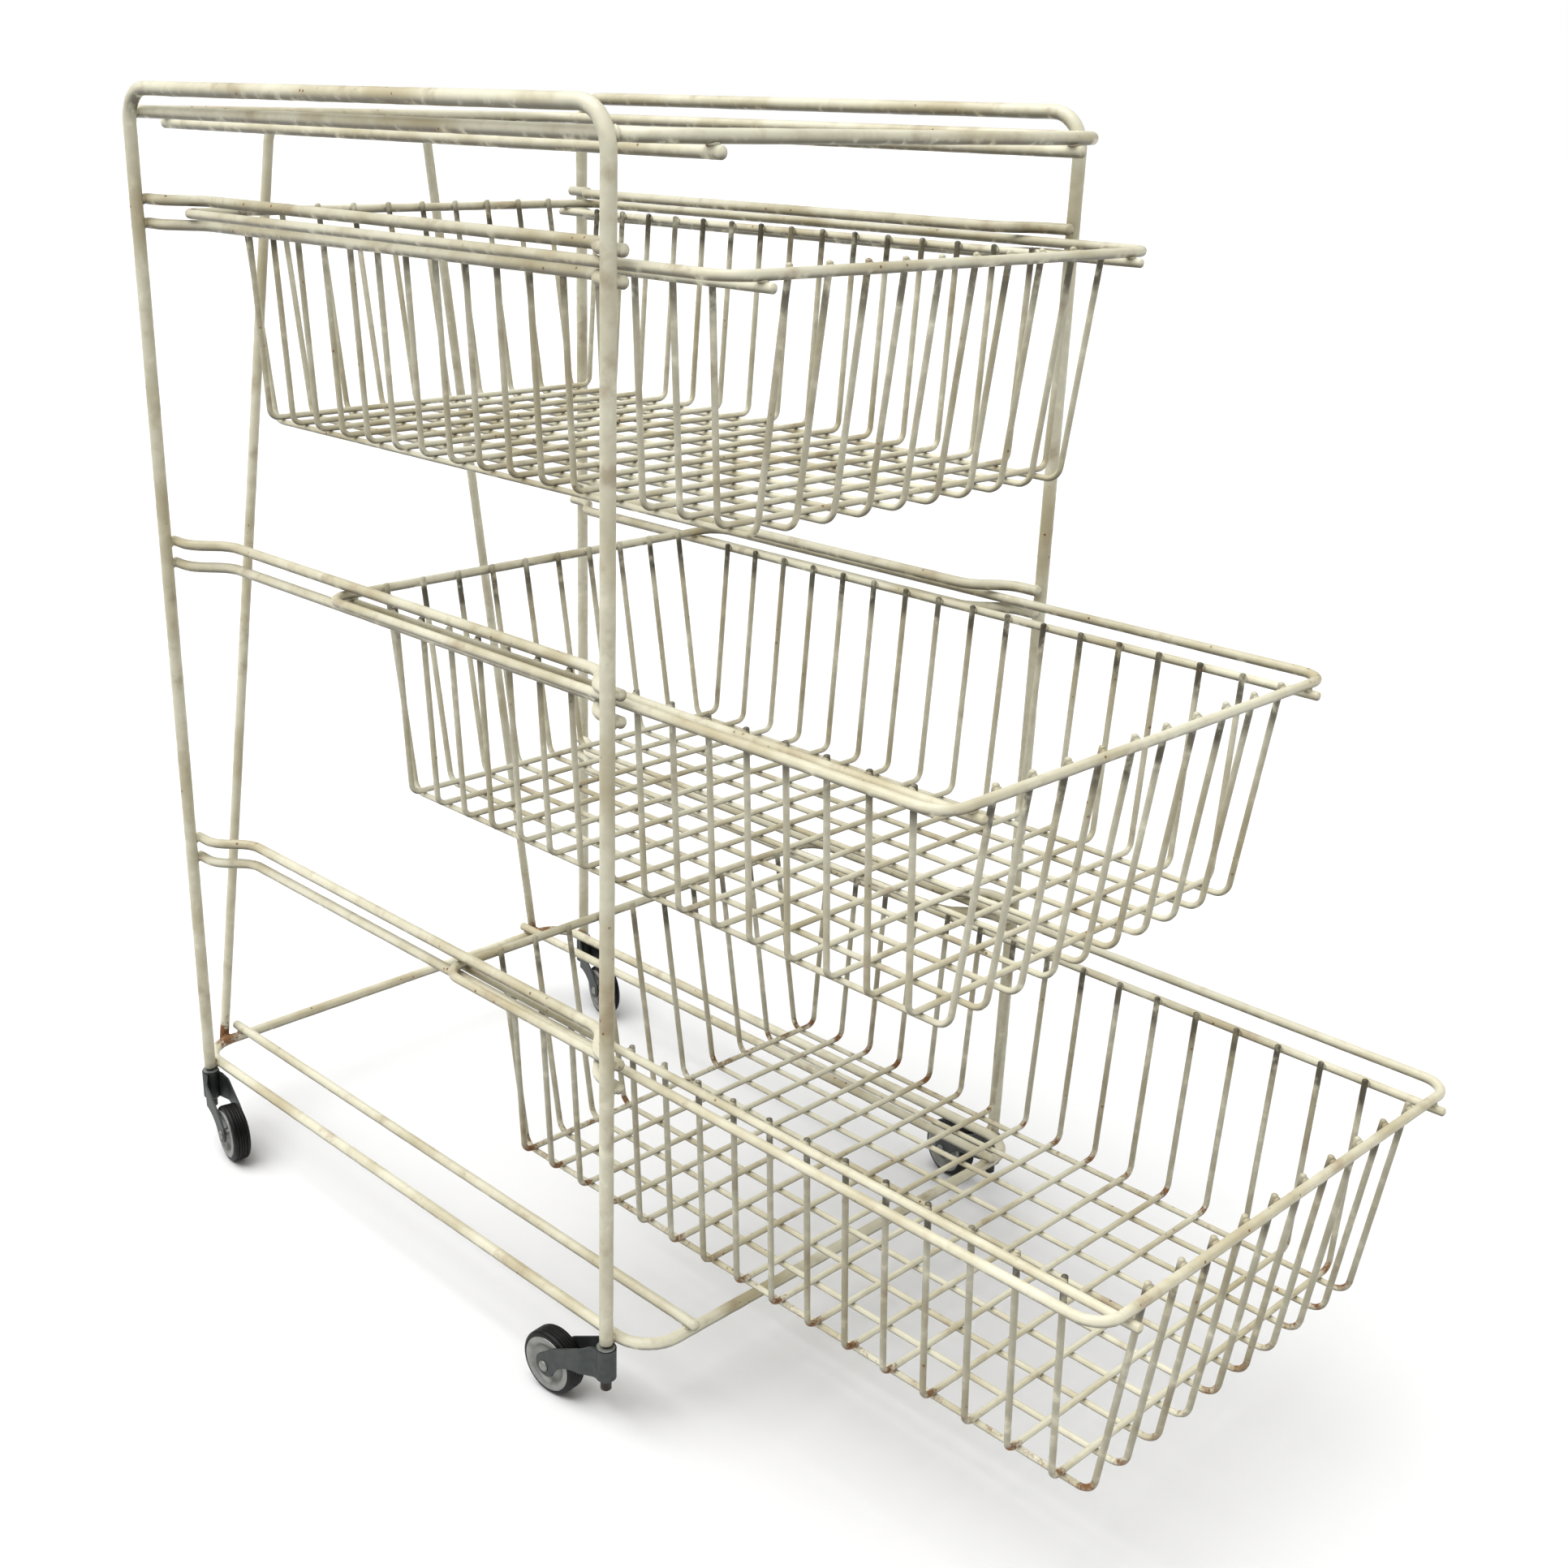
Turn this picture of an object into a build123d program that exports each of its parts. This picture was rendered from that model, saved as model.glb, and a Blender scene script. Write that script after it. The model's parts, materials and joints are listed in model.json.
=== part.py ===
"""Household storage trolley: a bent-rod frame on four casters with three pull-out wire baskets.

Millimetres, +Z up, floor at Z = 0.  The baskets pull out towards -Y.  The origin is the
middle of the bounding box at floor level.
"""

import os
from math import atan, cos, radians, sin

from build123d import *

os.makedirs("parts", exist_ok=True)

# ---------------------------------------------------------------- driving dimensions

WELD_BITE = 0.03          # how far two welded rods sink into each other

# side arches, whose legs carry everything
FRAME_CENTRE_Y = 139.9    # middle of the frame, seen from the origin
LEG_X = 174.5
LEG_Y = 216.5             # from the middle of the frame
LEG_END_Z = 50.5
ARCH_TOP_Z = 703.0
ARCH_BEND = 20.0
LEG_RADIUS = 4.0

# rails: two rods per side at each basket, the rim slides between them
RAIL_RADIUS = 3.25
RAIL_HALF_GAP = 7.0
RAIL_X = LEG_X - 26.5
RAIL_WELD_X = LEG_X - LEG_RADIUS - RAIL_RADIUS + WELD_BITE
RAIL_STRAIGHT_Y = 181.0
RAIL_JOG_Y = 200.0
RAIL_TIP_Y = 220.5
RAIL_BEND = 20.0
RAIL_TIP_ROUND = 2.4

# loops that tie the two arches together, with two rods along each of them
LOOP_RADIUS = 3.5
LOOP_X = LEG_X - LEG_RADIUS - LOOP_RADIUS + WELD_BITE
LOOP_Y = 241.0
LOOP_CORNER = 24.0
TOP_LOOP_Z = 690.0
BOTTOM_LOOP_Z = 54.0
LONG_ROD_X = LEG_X - 40.0
LONG_ROD_END_Y = 248.7
LONG_ROD_DROP = LOOP_RADIUS + RAIL_RADIUS - WELD_BITE

# back brace, a tapering arch behind the loops
BRACE_Y = LOOP_Y + LOOP_RADIUS + RAIL_RADIUS - WELD_BITE
BRACE_FOOT_X = LEG_X - 29.0
BRACE_FOOT_Z = 50.0
BRACE_TOP_X = 60.0
BRACE_BEND = 20.0

# baskets
RIM_X = 160.0
RIM_Y = 236.0
RIM_CORNER = 15.0
RIM_RADIUS = 2.75
SIDE_ROD_RADIUS = 2.5
SIDE_ROD_X = LEG_X - 34.1
SIDE_ROD_DROP = RIM_RADIUS + SIDE_ROD_RADIUS - WELD_BITE
SIDE_ROD_NUB = 5.0        # stands out past the rim at both ends
WIRE_RADIUS = 1.75
WIRE_PITCH = 26.6
CROSS_WIRE_COUNT = 16
LONG_WIRE_COUNT = 10
WIRE_NUB = 1.2            # a wire's end stands this far above the rod it is welded to
BASKET_DEPTH = 121.0      # from the rim's centre to where the two layers of floor wires touch
CROSS_INSET = 7.0         # taper of the side walls
FRONT_INSET = 15.0        # taper of the front wall
BACK_INSET = 23.0         # taper of the back wall
CROSS_WIRE_BEND = 6.0
LONG_WIRE_BEND = 9.0

# each basket: rail height, and how far its front rim stands ahead of the frame's middle
BASKETS = {
    "basket_top": (634.0, 280.7),
    "basket_middle": (425.0, 417.7),
    "basket_bottom": (220.0, 522.9),
}

# casters
WHEEL_RADIUS = 20.0
WHEEL_TRAIL = 42.0
TYRE_HALF_WIDTH = 6.0
TYRE_BORE = 15.5
TREAD_GROOVE = 0.7
TYRE_SHOULDER = 2.2
HUB_FLANGE_RADIUS = 17.0
HUB_HALF_WIDTH = 6.6
HUB_BOSS_HALF_WIDTH = 7.0
AXLE_RADIUS = 2.0
RUNNING_CLEARANCE = 0.05
FORK_SHEET = 1.4
FORK_INSIDE = 7.4         # half the gap between the fork's arms
ARM_END_RADIUS = 7.72     # the arms end in an arc around the axle
FORK_FLARE = 13.0         # the arms have spread to full width this far from the spindle
FORK_SHEET_BEND = 4.0
BARREL_RADIUS = 6.0
BARREL_TOP_Z = 49.2
BARREL_BOTTOM_Z = 28.0
BARREL_CHAMFER = 1.5
PIN_RADIUS = 2.5
PIN_CAP_RADIUS = 3.2
PIN_CAP_TOP_Z = 27.6
PIN_TIP_Z = 21.0
PIN_TIP_CHAMFER = 0.8
COLLAR_RADIUS = 5.3
COLLAR_THICKNESS = 1.0
RIVET_HEAD_RADIUS = 3.4
RIVET_HEAD_HEIGHT = 1.5

# each caster: leg position, and the way its wheel trails, in degrees turned from -Y towards +X
CASTERS = {
    "caster_front_left": (-LEG_X, FRAME_CENTRE_Y - LEG_Y, 185.0),
    "caster_front_right": (LEG_X, FRAME_CENTRE_Y - LEG_Y, 169.0),
    "caster_back_left": (-LEG_X, FRAME_CENTRE_Y + LEG_Y, -11.0),
    "caster_back_right": (LEG_X, FRAME_CENTRE_Y + LEG_Y, -17.0),
}


# ---------------------------------------------------------------- helpers

def save(builder, name):
    """Label a finished piece and write its STEP file."""
    builder.part.label = name
    export_step(builder.part, f"parts/{name}.step")


def rod(points, radius, bend=None, close=False):
    """Sweep a round rod along the points, with every corner rounded, inside the open part."""
    with BuildLine() as path:
        if bend:
            FilletPolyline(*points, radius=bend, close=close)
        else:
            Line(*points)
    route = path.wires()[0]
    with BuildSketch(Plane(origin=route @ 0, z_dir=route % 0)) as section:
        Circle(radius)
    sweep(sections=section.sketch, path=route)


def in_frame(x, y, z):
    """A point given from the middle of the frame."""
    return (x, FRAME_CENTRE_Y + y, z)


# ---------------------------------------------------------------- frame

def side_arch(name, side):
    """One leg, the top bar and the other leg, bent from a single rod."""
    corners = [(-LEG_Y, LEG_END_Z), (-LEG_Y, ARCH_TOP_Z), (LEG_Y, ARCH_TOP_Z), (LEG_Y, LEG_END_Z)]
    with BuildPart() as arch:
        rod([in_frame(side * LEG_X, y, z) for y, z in corners], LEG_RADIUS, ARCH_BEND)
    save(arch, name)


def side_rails(name, side):
    """The six rails of one side, jogged outwards at both ends to reach the legs."""
    half = [(RAIL_WELD_X, RAIL_TIP_Y), (RAIL_WELD_X, RAIL_JOG_Y), (RAIL_X, RAIL_STRAIGHT_Y)]
    plan = [(x, -y) for x, y in half] + [(x, y) for x, y in reversed(half)]
    with BuildPart() as rails:
        for middle, _ in BASKETS.values():
            for z in (middle - RAIL_HALF_GAP, middle + RAIL_HALF_GAP):
                rod([in_frame(side * x, y, z) for x, y in plan], RAIL_RADIUS, RAIL_BEND)
        ends = rails.edges().filter_by(GeomType.CIRCLE).group_by(Axis.Y)
        fillet(ends[0] + ends[-1], RAIL_TIP_ROUND)
    save(rails, name)


def tie_loop(name, z):
    """Rounded rectangle welded to the inner side of all four legs."""
    corners = [(-LOOP_X, -LOOP_Y), (LOOP_X, -LOOP_Y), (LOOP_X, LOOP_Y), (-LOOP_X, LOOP_Y)]
    with BuildPart() as loop:
        rod([in_frame(x, y, z) for x, y in corners], LOOP_RADIUS, LOOP_CORNER, close=True)
    save(loop, name)


def long_rods(name, z):
    """Two straight rods from the front to the back of a loop."""
    with BuildPart() as rods:
        for x in (-LONG_ROD_X, LONG_ROD_X):
            ends = [in_frame(x, y, z) for y in (-LONG_ROD_END_Y, LONG_ROD_END_Y)]
            rod(ends, RAIL_RADIUS)
    save(rods, name)


for side_name, side in (("left", -1), ("right", 1)):
    side_arch(f"arch_{side_name}", side)
    side_rails(f"rails_{side_name}", side)

tie_loop("top_loop", TOP_LOOP_Z)
tie_loop("bottom_loop", BOTTOM_LOOP_Z)
long_rods("top_rods", TOP_LOOP_Z - LONG_ROD_DROP)
long_rods("bottom_rods", BOTTOM_LOOP_Z + LONG_ROD_DROP)

brace_corners = [
    (-BRACE_FOOT_X, BRACE_FOOT_Z),
    (-BRACE_TOP_X, TOP_LOOP_Z),
    (BRACE_TOP_X, TOP_LOOP_Z),
    (BRACE_FOOT_X, BRACE_FOOT_Z),
]
with BuildPart() as back_brace:
    rod([in_frame(x, BRACE_Y, z) for x, z in brace_corners], RAIL_RADIUS, BRACE_BEND)
save(back_brace, "back_brace")


# ---------------------------------------------------------------- baskets

def spread(count):
    """Evenly pitched places of a row of wires, centred on zero."""
    return [WIRE_PITCH * (index - (count - 1) / 2) for index in range(count)]


def hung_offset(rod_radius, inset, drop):
    """How far a leaning wire's axis lies inside the axis of the rod that it hangs on."""
    return (rod_radius + WIRE_RADIUS) / cos(atan(inset / drop)) - WELD_BITE


def basket(name, rim_z, front_reach):
    """Rim, two side rods and two layers of U-shaped wires."""
    middle_y = FRAME_CENTRE_Y - front_reach + RIM_Y

    corners = [(-RIM_X, -RIM_Y), (RIM_X, -RIM_Y), (RIM_X, RIM_Y), (-RIM_X, RIM_Y)]
    with BuildPart() as rim:
        rod([(x, middle_y + y, rim_z) for x, y in corners], RIM_RADIUS, RIM_CORNER, close=True)
    save(rim, f"{name}_rim")

    side_rod_z = rim_z - SIDE_ROD_DROP
    reach = RIM_Y + RIM_RADIUS + SIDE_ROD_NUB
    with BuildPart() as side_rods:
        for x in (-SIDE_ROD_X, SIDE_ROD_X):
            rod([(x, middle_y + y, side_rod_z) for y in (-reach, reach)], SIDE_ROD_RADIUS)
    save(side_rods, f"{name}_side_rods")

    cross_floor_z = rim_z - BASKET_DEPTH + WIRE_RADIUS - WELD_BITE
    cross_top_z = side_rod_z + SIDE_ROD_RADIUS + WIRE_NUB
    cross_drop = side_rod_z - cross_floor_z
    cross_hung_x = SIDE_ROD_X - hung_offset(SIDE_ROD_RADIUS, CROSS_INSET, cross_drop)
    cross_top_x = cross_hung_x + CROSS_INSET * (cross_top_z - side_rod_z) / cross_drop
    cross_floor_x = cross_hung_x - CROSS_INSET
    with BuildPart() as cross_wires:
        for y in spread(CROSS_WIRE_COUNT):
            u_shape = [
                (-cross_top_x, middle_y + y, cross_top_z),
                (-cross_floor_x, middle_y + y, cross_floor_z),
                (cross_floor_x, middle_y + y, cross_floor_z),
                (cross_top_x, middle_y + y, cross_top_z),
            ]
            rod(u_shape, WIRE_RADIUS, CROSS_WIRE_BEND)
    save(cross_wires, f"{name}_cross_wires")

    long_floor_z = rim_z - BASKET_DEPTH - WIRE_RADIUS
    long_top_z = rim_z + RIM_RADIUS + WIRE_NUB
    long_drop = rim_z - long_floor_z
    rise = (long_top_z - rim_z) / long_drop
    front_y = -RIM_Y + hung_offset(RIM_RADIUS, FRONT_INSET, long_drop)
    back_y = RIM_Y - hung_offset(RIM_RADIUS, BACK_INSET, long_drop)
    with BuildPart() as long_wires:
        for x in spread(LONG_WIRE_COUNT):
            u_shape = [
                (x, middle_y + front_y - FRONT_INSET * rise, long_top_z),
                (x, middle_y + front_y + FRONT_INSET, long_floor_z),
                (x, middle_y + back_y - BACK_INSET, long_floor_z),
                (x, middle_y + back_y + BACK_INSET * rise, long_top_z),
            ]
            rod(u_shape, WIRE_RADIUS, LONG_WIRE_BEND)
    save(long_wires, f"{name}_long_wires")


for basket_name, (rim_z, front_reach) in BASKETS.items():
    basket(basket_name, rim_z, front_reach)


# ---------------------------------------------------------------- casters

LEG_FEET = [(x, y) for x, y, _ in CASTERS.values()]

with BuildPart() as swivel_pins:
    with BuildSketch(Plane.XY.offset(PIN_CAP_TOP_Z)):
        with Locations(*LEG_FEET):
            Circle(PIN_RADIUS)
    extrude(amount=LEG_END_Z - PIN_CAP_TOP_Z)
save(swivel_pins, "swivel_pins")

with BuildPart() as pin_caps:
    with BuildSketch(Plane.XY.offset(PIN_TIP_Z)):
        with Locations(*LEG_FEET):
            Circle(PIN_CAP_RADIUS)
    extrude(amount=PIN_CAP_TOP_Z - PIN_TIP_Z)
    chamfer(pin_caps.faces().group_by(Axis.Z)[0].edges(), PIN_TIP_CHAMFER)
save(pin_caps, "pin_caps")

with BuildPart() as pin_collars:
    with BuildSketch(Plane.XY.offset(LEG_END_Z - COLLAR_THICKNESS)):
        with Locations(*LEG_FEET):
            Circle(COLLAR_RADIUS)
            Circle(PIN_RADIUS, mode=Mode.SUBTRACT)
    extrude(amount=COLLAR_THICKNESS)
save(pin_collars, "pin_collars")


def caster(name, leg_x, leg_y, heading):
    """Fork with its barrel, axle rivet, hub and tyre of one swivelling caster."""
    turn = radians(heading)
    trail_way = (sin(turn), -cos(turn), 0)
    axle_way = (cos(turn), sin(turn), 0)
    plan = Plane(origin=(leg_x, leg_y, 0), x_dir=trail_way, z_dir=(0, 0, 1))
    side = Plane(origin=(leg_x, leg_y, 0), x_dir=trail_way, z_dir=(-cos(turn), -sin(turn), 0))
    centre = (
        leg_x + WHEEL_TRAIL * trail_way[0],
        leg_y + WHEEL_TRAIL * trail_way[1],
        WHEEL_RADIUS,
    )
    wheel_section = Plane(origin=centre, x_dir=axle_way, z_dir=trail_way)
    wheel_axis = Axis(centre, axle_way)

    arm_y = FORK_INSIDE + FORK_SHEET / 2
    arm_end_top = (WHEEL_TRAIL + 4.6, WHEEL_RADIUS + 6.2)
    arm_end_bottom = (WHEEL_TRAIL - 6.2, WHEEL_RADIUS - 4.6)
    with BuildPart() as fork:
        with BuildSketch(plan):
            for hand in (-1, 1):
                with BuildLine() as arm_line:
                    FilletPolyline(
                        (0, hand * (BARREL_RADIUS - FORK_SHEET)),
                        (5.0, hand * (BARREL_RADIUS - FORK_SHEET)),
                        (FORK_FLARE, hand * arm_y),
                        (WHEEL_TRAIL + 12.0, hand * arm_y),
                        radius=FORK_SHEET_BEND,
                    )
                trace(arm_line.edges(), line_width=FORK_SHEET)
        extrude(amount=BARREL_TOP_Z)
        with BuildSketch(side):
            with BuildLine():
                Polyline((1.0, 29.5), (1.0, 49.0), (7.0, 49.0), (34.0, 35.5), arm_end_top)
                RadiusArc(arm_end_top, arm_end_bottom, ARM_END_RADIUS)
                Spline(arm_end_bottom, (25.0, 26.5), (10.0, 29.5), (1.0, 29.5))
            make_face()
        extrude(amount=2 * arm_y, both=True, mode=Mode.INTERSECT)
        with BuildSketch(Plane(origin=(leg_x, leg_y, BARREL_BOTTOM_Z))):
            Circle(BARREL_RADIUS)
        extrude(amount=BARREL_TOP_Z - BARREL_BOTTOM_Z)
        chamfer(fork.faces().filter_by(Axis.Z).sort_by(Axis.Z)[0].edges(), BARREL_CHAMFER)
        with BuildSketch(Plane(origin=(leg_x, leg_y, 0))):
            Circle(PIN_RADIUS + RUNNING_CLEARANCE)
        extrude(amount=BARREL_TOP_Z, mode=Mode.SUBTRACT)
        with BuildSketch(Plane(origin=centre, z_dir=axle_way)):
            Circle(AXLE_RADIUS)
        extrude(amount=2 * arm_y, both=True, mode=Mode.SUBTRACT)
    save(fork, f"{name}_fork")

    outside = FORK_INSIDE + FORK_SHEET
    head_end = outside + RIVET_HEAD_HEIGHT
    with BuildPart() as axle:
        with BuildSketch(wheel_section):
            with BuildLine():
                Polyline(
                    (-head_end, 0),
                    (head_end, 0),
                    (head_end, RIVET_HEAD_RADIUS / 2),
                    (outside, RIVET_HEAD_RADIUS),
                    (outside, AXLE_RADIUS),
                    (-outside, AXLE_RADIUS),
                    (-outside, RIVET_HEAD_RADIUS),
                    (-head_end, RIVET_HEAD_RADIUS / 2),
                    close=True,
                )
            make_face()
        revolve(axis=wheel_axis)
    save(axle, f"{name}_axle")

    half_profile = [
        (HUB_BOSS_HALF_WIDTH, AXLE_RADIUS + RUNNING_CLEARANCE),
        (HUB_BOSS_HALF_WIDTH, 3.6),
        (2.6, 5.4),
        (3.4, 10.0),
        (HUB_HALF_WIDTH, 13.0),
        (HUB_HALF_WIDTH, HUB_FLANGE_RADIUS),
        (TYRE_HALF_WIDTH, HUB_FLANGE_RADIUS),
        (TYRE_HALF_WIDTH, TYRE_BORE),
    ]
    outline = half_profile + [(-a, r) for a, r in reversed(half_profile)]
    with BuildPart() as hub:
        with BuildSketch(wheel_section):
            with BuildLine():
                Polyline(*outline, close=True)
            make_face()
        revolve(axis=wheel_axis)
    save(hub, f"{name}_hub")

    shoulder = WHEEL_RADIUS - TYRE_SHOULDER
    half_tread = [
        (TYRE_HALF_WIDTH, TYRE_BORE),
        (TYRE_HALF_WIDTH, shoulder),
        (4.6, WHEEL_RADIUS - 0.5),
        (3.2, WHEEL_RADIUS),
        (2.5, WHEEL_RADIUS - TREAD_GROOVE),
        (1.8, WHEEL_RADIUS),
    ]
    outline = half_tread + [(-a, r) for a, r in reversed(half_tread)]
    with BuildPart() as tyre:
        with BuildSketch(wheel_section):
            with BuildLine():
                Polyline(*outline, close=True)
            make_face()
        revolve(axis=wheel_axis)
    save(tyre, f"{name}_tyre")


for caster_name, (leg_x, leg_y, heading) in CASTERS.items():
    caster(caster_name, leg_x, leg_y, heading)
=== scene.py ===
"""Looks of the wire-basket storage trolley: enamelled rods with welds and rust, worn casters.

Metres, in the frame of the CAD model.  Every rod is redrawn as a slightly uneven, hand-bent
one along the path that its CAD node has, and carries a "rust" value and a "soot_and_shade" value, for
sooty welds and for painted shade and shadow, per vertex.
"""

import json
from itertools import count
from math import ceil, cos, pi, radians, sin, tan

import bmesh
import bpy
from mathutils import Matrix, Vector, noise


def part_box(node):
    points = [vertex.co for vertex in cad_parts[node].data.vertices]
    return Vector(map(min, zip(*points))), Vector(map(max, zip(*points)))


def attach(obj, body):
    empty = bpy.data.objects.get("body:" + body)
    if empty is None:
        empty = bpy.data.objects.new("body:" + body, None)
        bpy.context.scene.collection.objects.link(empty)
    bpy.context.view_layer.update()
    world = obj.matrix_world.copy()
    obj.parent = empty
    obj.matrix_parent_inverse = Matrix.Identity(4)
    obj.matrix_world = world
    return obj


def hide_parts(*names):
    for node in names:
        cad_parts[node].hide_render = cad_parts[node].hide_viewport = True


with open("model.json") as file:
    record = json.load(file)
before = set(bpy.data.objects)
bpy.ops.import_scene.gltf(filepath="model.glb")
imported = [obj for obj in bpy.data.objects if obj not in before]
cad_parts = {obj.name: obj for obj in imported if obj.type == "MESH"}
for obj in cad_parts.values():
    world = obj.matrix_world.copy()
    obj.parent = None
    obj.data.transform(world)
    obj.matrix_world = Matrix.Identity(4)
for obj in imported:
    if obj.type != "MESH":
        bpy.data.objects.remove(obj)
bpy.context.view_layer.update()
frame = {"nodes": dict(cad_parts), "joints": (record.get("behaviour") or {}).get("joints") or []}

MM = 0.001


def in_mm(*sizes):
    return tuple(size * MM for size in sizes)


BASKETS = ("basket_top", "basket_middle", "basket_bottom")
CASTERS = ("caster_front_left", "caster_front_right", "caster_back_left", "caster_back_right")

# how far rust has eaten into each basket, and how much painted shade darkens its standing wires, 0 to
# 1
RUST_OF = {"basket_top": 0.45, "basket_middle": 0.6, "basket_bottom": 1.0}
WALL_SHADE_OF = {"basket_top": 0.14, "basket_middle": 0.12, "basket_bottom": 0.30}

# bends and spacings that a node's box doesn't show
ARCH_BEND = 20 * MM
LOOP_CORNER = 24 * MM
RAIL_BEND = 20 * MM
RAIL_INSET = 19.28 * MM       # from the welded end of a rail to its straight stretch
RAIL_JOG_START = 39.5 * MM    # from a rail's tip to where its straight stretch begins
RAIL_JOG_END = 20.5 * MM      # from a rail's tip to where the jog ends
RAIL_PAIR_GAP = 14 * MM       # between the middles of a pair's two rails
BRACE_TOP_HALF = 60 * MM
BRACE_BEND = 20 * MM
RIM_CORNER = 15 * MM
SIDE_ROD_INSET = 19.6 * MM    # from the middle of a basket's rim to the middle of its side rod
WIRE_RADIUS = 1.75 * MM
CROSS_WIRE_BEND = 6 * MM
LONG_WIRE_BEND = 9 * MM
CROSS_INSET = 7 * MM          # how far a basket's side walls lean in from side rod to floor
FRONT_INSET = 15 * MM         # how far its front and back walls lean in from rim to floor
BACK_INSET = 23 * MM
CROSS_WIRE_COUNT = 16
LONG_WIRE_COUNT = 10


# half extents of the weld beads along X, Y and Z
LOOP_ON_LEG_BEAD = in_mm(1.9, 3.6, 3.9)
RAIL_ON_LEG_BEAD = in_mm(1.7, 3.3, 3.2)
ROD_ON_LOOP_BEAD = in_mm(3.4, 3.4, 1.6)
BRACE_FOOT_BEAD = in_mm(3.8, 1.7, 4.0)
BRACE_TOP_BEAD = in_mm(4.5, 1.4, 2.6)
CROSS_WIRE_BEAD = in_mm(1.6, 2.5, 2.4)
LONG_WIRE_BEAD = in_mm(2.5, 1.6, 2.5)
SIDE_ROD_BEAD = in_mm(2.6, 2.8, 1.5)


# ---------------------------------------------------------------- meshes

def made_object(name, mesh, material, smooth=True):
    """Turn a bmesh into an object with one material."""
    data = bpy.data.meshes.new(name)
    mesh.to_mesh(data)
    mesh.free()
    data.materials.append(material)
    data.polygons.foreach_set("use_smooth", [smooth] * len(data.polygons))
    made = bpy.data.objects.new(name, data)
    bpy.context.scene.collection.objects.link(made)
    return made


# ---------------------------------------------------------------- rods

ROD_SPACING = 7 * MM              # rings on a straight run are no farther apart than this
ARC_STEP = radians(10)            # and on a bend no farther than this
END_SHARES = (0.0, 0.5, 0.85)     # where a rod's rounded end has its rings, 1 being full width
END_LENGTH = 0.6                  # of the rod's radius
NARROWEST_END = 0.25              # width of the flat tip, against the rod's radius
FINE_LUMPS = (0.035, 4 * MM)      # height of the paint's lumps against the radius, and their size
BROAD_LUMPS = (0.02, 14 * MM)
BEAD_LUMPS = (0.22, 0.9)          # the same of a weld bead, both against the bead's size


def wobble(point, scale, seed):
    """Smooth noise from -1 to 1 at a point, with features of the given size."""
    return noise.noise(point / scale + Vector((seed * 7.3, seed * 3.1, seed * 5.7)))


def rounded(corners, bend, closed):
    """Points along straight runs that are joined by arcs."""
    points = []
    last = len(corners) - 1
    for index, corner in enumerate(corners):
        if not closed and index in (0, last):
            points.append(corner)
            continue
        back = (corners[index - 1] - corner).normalized()
        ahead = (corners[(index + 1) % len(corners)] - corner).normalized()
        half = back.angle(ahead) / 2
        centre = corner + (back + ahead).normalized() * bend / sin(half)
        spoke = corner + back * bend / tan(half) - centre
        turn = pi - 2 * half
        axis = ahead.cross(back)
        steps = max(3, ceil(turn / ARC_STEP))
        for step in range(steps + 1):
            points.append(centre + Matrix.Rotation(turn * step / steps, 3, axis) @ spoke)
    return points


def divided(points, closed):
    """The same route with extra points on its long runs."""
    route = []
    following = points[1:] + points[:1] if closed else points[1:]
    for start, end in zip(points, following):
        steps = max(1, ceil((end - start).length / ROD_SPACING))
        route += [start.lerp(end, step / steps) for step in range(steps)]
    if not closed:
        route.append(points[-1])
    return route


def ring_frames(route, closed):
    """A direction and two steady side vectors at every point of a route."""
    last = len(route) - 1
    frames = []
    side = None
    for index, point in enumerate(route):
        ahead = route[(index + 1) % len(route)] if closed or index < last else point
        behind = route[index - 1] if closed or index > 0 else point
        along = (ahead - behind).normalized()
        if side is None:
            side = along.orthogonal().normalized()
        side = (side - along * side.dot(along)).normalized()
        frames.append((along, side, along.cross(side)))
    return frames


def end_width(share):
    """Width of a rounded end at a share of its length, against the rod's radius."""
    return max(NARROWEST_END, (1 - (1 - share) ** 2) ** 0.5)


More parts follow.
